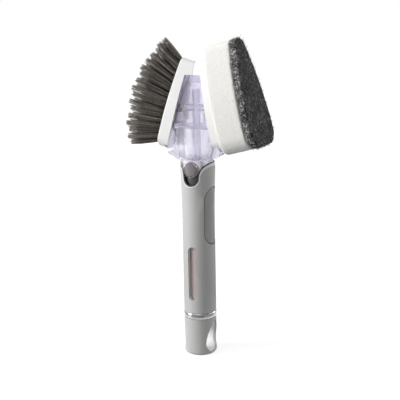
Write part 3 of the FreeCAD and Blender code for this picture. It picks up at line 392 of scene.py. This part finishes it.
for stand in tuft_stands:
    points = sorted((vertex.co for vertex in stand.data.vertices), key=lambda point: -point.x)
    foot = sum(points[:stand_sides], Vector()) / stand_sides
    tip = sum(points[-stand_sides:], Vector()) / stand_sides
    axis = tip - foot
    place = Matrix.Translation(foot) @ axis.to_track_quat("Z", "Y").to_matrix().to_4x4()
    turn = Matrix.Rotation(bristle_chance.uniform(0, 2 * math.pi), 4, "Z")
    stretch = Matrix.Diagonal((1, 1, axis.length, 1))
    brush.append(placed_copy(bristle_chance.choice(tufts), place @ stretch @ turn))
for spare in tuft_stands + tufts + [filament]:
    bpy.data.objects.remove(spare)
bristles = joined(brush, "bristles")
bristles.data.materials.append(strand_nylon("bristle_nylon", bristle_dark, bristle_light, gloss=(0.34, 0.5),
                                            gloss_scale=700.0, specular=0.3))
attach(bristles, "brush_refill")
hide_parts("bristle_tufts")


# Sponge: a block of off-white open-cell foam, sawn to the shape of a pick and bonded to its carrier. Its edges are
# soft, and its cut faces show the cells.

foam_rim = 0.0014
foam_skin = 0.0008
cell_size = 0.0013
cell_depth = 0.0004
pore_size = cell_size * 0.7
pore_painted_shade = (0.60, 0.585, 0.555)
foam_light = (0.75, 0.74, 0.715)
foam_scatter = (0.004, 0.0037, 0.0034)


def soft_block(node, name, rim, voxel, rounds):
    """A soft piece from a CAD solid: rims rounded over, then an even skin of small faces, smoothed."""
    piece = merged_copy(node, name)
    bpy.ops.object.mode_set(mode="EDIT")
    bpy.ops.mesh.select_mode(type="EDGE")
    bpy.ops.mesh.select_all(action="DESELECT")
    bpy.ops.mesh.edges_select_sharp(sharpness=math.radians(50))
    bpy.ops.mesh.bevel(offset=rim, segments=4, affect="EDGES")
    bpy.ops.object.mode_set(mode="OBJECT")
    skin = piece.modifiers.new("skin", "REMESH")
    skin.mode = "VOXEL"
    skin.voxel_size = voxel
    bpy.ops.object.modifier_apply(modifier="skin")
    ease = piece.modifiers.new("ease", "SMOOTH")
    ease.factor = 0.5
    ease.iterations = rounds
    bpy.ops.object.modifier_apply(modifier="ease")
    bpy.ops.object.shade_smooth()
    return piece


def roughen(piece, size, depth, middle):
    """Relief of cloudy noise, in metres, along the normals of a soft piece."""
    noise = bpy.data.textures.new(piece.name + "_relief", "CLOUDS")
    noise.noise_scale = size
    relief = piece.modifiers.new("relief", "DISPLACE")
    relief.texture = noise
    relief.texture_coords = "LOCAL"
    relief.strength = depth
    relief.mid_level = middle
    select_only(piece)
    bpy.ops.object.modifier_apply(modifier="relief")


def object_cells(tree, size):
    """Distances in a field of cells of a size in metres, on the piece's own coordinates."""
    place = tree.nodes.new("ShaderNodeTexCoord")
    cells = tree.nodes.new("ShaderNodeTexVoronoi")
    cells.inputs["Scale"].default_value = 1 / size
    tree.links.new(place.outputs["Object"], cells.inputs["Vector"])
    return cells.outputs["Distance"]


sponge = soft_block("sponge", "sponge_foam", foam_rim, foam_skin, rounds=3)
roughen(sponge, cell_size, cell_depth, middle=0.6)
sponge_foam, tree, shader = new_material("sponge_foam")
pores = object_cells(tree, pore_size)
# Painted shade: the middle of each cell is darker, for the shade in its hollow.
tree.links.new(ramp(tree, pores, [(0.05, pore_painted_shade), (0.32, foam_light)]), shader.inputs["Base Color"])
set_inputs(shader, {"Roughness": 0.9, "Sheen Weight": 0.15, "Subsurface Weight": 0.4,
                    "Subsurface Radius": foam_scatter, "Subsurface Scale": 1.0})
bump(tree, shader, pores, cell_depth, strength=0.6)
sponge.data.materials.append(sponge_foam)
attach(sponge, "sponge_refill")
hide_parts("sponge")


# Scouring pad: a web of crimped nylon fibre, sprayed with dark resin and grit and bonded to the sponge's face. Its
# cut sides are lighter, partly for the paler fibre inside and partly by painted light, as they face the key light,
# and loose ends of fibre lie all over it.

pad_rim = 0.0008
pad_skin = 0.0008
pad_tangle = 0.0011
pad_relief = 0.0009
pad_side_normal = 0.6
web_depth = 0.0006
web_shade_resin_glint_tones = ((0.006, 0.006, 0.006), (0.04, 0.04, 0.04), (0.34, 0.34, 0.34))
side_web_tones_paler_fibre_painted_light = ((0.012, 0.012, 0.012), (0.145, 0.145, 0.141), (0.85, 0.845, 0.83))
web_stops = (0.38, 0.52, 0.64)
patch_tones = ((0.3, 0.3, 0.3), (1.0, 1.0, 1.0))
patch_stops = (0.38, 0.62)
fibre_radius = 0.00009
fibre_sides = 3
fibre_length = 0.0045
fibre_pull = fibre_length * 0.25
fibre_crimp = fibre_length * 0.16
fibre_count = 2400
fibre_leans = (77, 97)
fibre_shares = (0.5, 1.0)
face_tones = (0.0, 0.3)
side_fibre_tones_paler_painted_light = (0.15, 1.0)
fibre_dark = (0.02, 0.02, 0.02)
fibre_light = (0.5, 0.5, 0.49)
fibre_chance = random.Random(23)


def fibre_web(name, tones):
    """A web of fibre: painted shade in its hollows, resin, and fibre ends painted bright as highlights, over broader
    patches.
    """
    material, tree, shader = new_material(name)
    web = object_noise(tree, scale=780.0, detail=4.0, roughness=0.65)
    patches = object_noise(tree, scale=170.0, detail=2.0)
    mixed = tree.nodes.new("ShaderNodeMix")
    mixed.data_type = "RGBA"
    mixed.blend_type = "MULTIPLY"
    mixed.inputs["Factor"].default_value = 1.0
    tree.links.new(ramp(tree, web, list(zip(web_stops, tones))), mixed.inputs["A"])
    tree.links.new(ramp(tree, patches, list(zip(patch_stops, patch_tones))), mixed.inputs["B"])
    tree.links.new(mixed.outputs["Result"], shader.inputs["Base Color"])
    uneven_gloss(tree, shader, gloss=(0.65, 0.9), scale=1400.0)
    set_inputs(shader, {"Specular IOR Level": 0.15})
    bump(tree, shader, web, web_depth)
    return material


scour_pad = soft_block("scour_pad", "scour_web", pad_rim, pad_skin, rounds=1)
# The face's web has painted shade in its hollows and painted highlights on its fibre ends.
scour_pad.data.materials.append(fibre_web("scour_web", web_shade_resin_glint_tones))
scour_pad.data.materials.append(fibre_web("scour_side_paler_painted_light", side_web_tones_paler_fibre_painted_light))
# The sides get the lighter web: paler fibre, and painted light for the lamp that falls on them.
for face in scour_pad.data.polygons:
    face.material_index = int(abs(face.normal.x) < pad_side_normal)
roughen(scour_pad, pad_tangle, pad_relief, middle=0.62)
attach(scour_pad, "sponge_refill")
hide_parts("scour_pad")

fibre = draw_strand("fibre", fibre_sides, fibre_radius, [
    (fibre_crimp, 0.0, fibre_pull, 1.0), (-fibre_crimp * 0.4, fibre_crimp, fibre_pull, 1.0),
    (-fibre_crimp, -fibre_crimp * 0.3, fibre_pull, 1.0), (fibre_crimp * 0.5, -fibre_crimp, fibre_pull, 0.8)])
faces = list(scour_pad.data.polygons)
fibres = []
# Loose fibres on the sides are lighter too, partly paler fibre and partly painted light.
for face in fibre_chance.choices(faces, weights=[face.area for face in faces], k=fibre_count):
    heading = face.normal.to_track_quat("Z", "Y").to_matrix().to_4x4()
    turn = Matrix.Rotation(fibre_chance.uniform(0, 2 * math.pi), 4, "Z")
    lean = Matrix.Rotation(math.radians(fibre_chance.uniform(*fibre_leans)), 4, "X")
    rise = Matrix.Translation(face.center + face.normal * fibre_radius)
    size = Matrix.Scale(fibre_chance.uniform(*fibre_shares), 4)
    strand = placed_copy(fibre, rise @ heading @ turn @ lean @ size)
    give_tone(strand, fibre_chance.uniform(*(side_fibre_tones_paler_painted_light if face.material_index else face_tones)))
    fibres.append(strand)
bpy.data.objects.remove(fibre)
scour_fibres = joined(fibres, "scour_fibres")
scour_fibres.data.materials.append(strand_nylon("scour_nylon", fibre_dark, fibre_light, gloss=(0.4, 0.6),
                                                gloss_scale=900.0, specular=0.25))
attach(scour_fibres, "sponge_refill")


# Stage: a pale floor that looks white and keeps a faint shadow, a white backdrop, and a black card and flag that only
# mirroring surfaces show, for the bright ring. A large soft light stands on the left, with weak ones above, behind
# and on the right, and the camera is the photograph's.

floor_size = 6.0
floor_grey = 0.4
floor_glow = (0.75, 0.95)
floor_fade = (0.1, 1.2)
card_inner = 0.105
card_outer = 0.40
card_rise = 0.0005
flag_size = 1.0
flag_place = Vector((0.55, -0.32, 0.75))
backdrop_light = 0.295
backdrop_seen = 1.0
handle_middle = (0, 0, 0.14)
handle_low = (0, 0, 0.1)


def seen_share(tree):
    """1 for rays that look at the stage, straight on, in a mirror or through clear plastic, and 0 for others."""
    rays = tree.nodes.new("ShaderNodeLightPath")
    share = rays.outputs["Is Camera Ray"]
    for kind in ("Is Glossy Ray", "Is Transmission Ray"):
        either = tree.nodes.new("ShaderNodeMath")
        either.operation = "MAXIMUM"
        tree.links.new(share, either.inputs[0])
        tree.links.new(rays.outputs[kind], either.inputs[1])
        share = either.outputs[0]
    return share


bpy.ops.object.select_all(action="DESELECT")
bpy.ops.mesh.primitive_plane_add(size=floor_size, location=(0, 0, 0))
floor = bpy.context.object
floor.name = "floor"
floor_paper = bpy.data.materials.new("floor_paper")
floor_paper.use_nodes = True
tree = floor_paper.node_tree
tree.nodes.clear()
out = tree.nodes.new("ShaderNodeOutputMaterial")
lit = tree.nodes.new("ShaderNodeBsdfDiffuse")
lit.inputs["Color"].default_value = (floor_grey, floor_grey, floor_grey, 1)
glow = tree.nodes.new("ShaderNodeEmission")
glow.inputs["Color"].default_value = (1, 1, 1, 1)
place = tree.nodes.new("ShaderNodeTexCoord")
reach = tree.nodes.new("ShaderNodeVectorMath")
reach.operation = "LENGTH"
fade = tree.nodes.new("ShaderNodeMapRange")
fade.inputs["From Min"].default_value, fade.inputs["From Max"].default_value = floor_fade
fade.inputs["To Min"].default_value, fade.inputs["To Max"].default_value = floor_glow
level = tree.nodes.new("ShaderNodeMath")
level.operation = "MULTIPLY"
added = tree.nodes.new("ShaderNodeAddShader")
tree.links.new(place.outputs["Object"], reach.inputs[0])
tree.links.new(reach.outputs["Value"], fade.inputs["Value"])
tree.links.new(fade.outputs["Result"], level.inputs[0])
tree.links.new(seen_share(tree), level.inputs[1])
tree.links.new(level.outputs[0], glow.inputs["Strength"])
tree.links.new(lit.outputs[0], added.inputs[0])
tree.links.new(glow.outputs[0], added.inputs[1])
tree.links.new(added.outputs[0], out.inputs["Surface"])
floor.data.materials.append(floor_paper)

bpy.ops.object.select_all(action="DESELECT")
bpy.ops.mesh.primitive_circle_add(vertices=64, radius=card_inner, location=(0, 0, 0))
card = bpy.context.object
card.name = "black_card"
bpy.ops.object.mode_set(mode="EDIT")
bpy.ops.mesh.select_all(action="SELECT")
bpy.ops.mesh.extrude_edges_move(TRANSFORM_OT_translate={"value": (0, 0, card_rise)})
bpy.ops.transform.resize(value=(card_outer / card_inner, card_outer / card_inner, 1.0))
bpy.ops.object.mode_set(mode="OBJECT")
bpy.ops.object.select_all(action="DESELECT")
bpy.ops.mesh.primitive_plane_add(size=flag_size, location=flag_place,
                                 rotation=flag_place.to_track_quat("Z", "Y").to_euler())
flag = bpy.context.object
flag.name = "black_flag"
card_black, tree, shader = new_material("card_black")
set_inputs(shader, {"Base Color": (0.03, 0.03, 0.03, 1)})
for black in (card, flag):
    black.data.materials.append(card_black)
    black.visible_camera = False
    black.visible_diffuse = False
    black.visible_transmission = False
    black.visible_shadow = False

world = bpy.data.worlds.new("studio")
bpy.context.scene.world = world
world.use_nodes = True
tree = world.node_tree
tree.nodes.clear()
out = tree.nodes.new("ShaderNodeOutputWorld")
backdrop = tree.nodes.new("ShaderNodeBackground")
backdrop.inputs["Color"].default_value = (1, 1, 1, 1)
level = tree.nodes.new("ShaderNodeMapRange")
level.inputs["To Min"].default_value = backdrop_light
level.inputs["To Max"].default_value = backdrop_seen
tree.links.new(seen_share(tree), level.inputs["Value"])
tree.links.new(level.outputs["Result"], backdrop.inputs["Strength"])
tree.links.new(backdrop.outputs[0], out.inputs["Surface"])


def softbox(name, place, target, size, watts):
    """A square soft light of a size in metres, turned to a target."""
    light = bpy.data.lights.new(name, "AREA")
    light.shape = "SQUARE"
    light.size = size
    light.energy = watts
    lamp = bpy.data.objects.new(name, light)
    bpy.context.scene.collection.objects.link(lamp)
    lamp.location = place
    lamp.rotation_euler = (Vector(target) - Vector(place)).to_track_quat("-Z", "Y").to_euler()


softbox("key", (-1.12, -0.84, 0.5), handle_middle, size=0.6, watts=23.0)
softbox("top", (0.1, -0.2, 1.3), handle_middle, size=0.6, watts=4.0)
softbox("rim", (0.8, 1.0, 0.5), handle_middle, size=0.5, watts=5.5)
softbox("fill", (1.0, -0.8, 0.3), handle_low, size=0.9, watts=0.8)

azimuth = math.radians(27.0)
elevation = math.radians(12.5)
roll = math.radians(-1.06)
distance = 0.750
aim = Vector((0.0, 0.0, 0.135))
back = Vector((math.sin(azimuth) * math.cos(elevation), -math.cos(azimuth) * math.cos(elevation),
               math.sin(elevation)))
level_right = Vector((math.cos(azimuth), math.sin(azimuth), 0.0))
level_up = back.cross(level_right)
right = level_right * math.cos(roll) + level_up * math.sin(roll)
up = back.cross(right)
camera_data = bpy.data.cameras.new("camera")
camera_data.sensor_width = 36.0
camera_data.lens = 82.0
camera_data.shift_x = 0.00425
camera_data.shift_y = -0.01
camera = bpy.data.objects.new("camera", camera_data)
bpy.context.scene.collection.objects.link(camera)
camera.matrix_world = Matrix((
    (right.x, up.x, back.x, aim.x + back.x * distance),
    (right.y, up.y, back.y, aim.y + back.y * distance),
    (right.z, up.z, back.z, aim.z + back.z * distance),
    (0, 0, 0, 1),
))
bpy.context.scene.camera = camera
bpy.context.scene.view_settings.view_transform = "Standard"
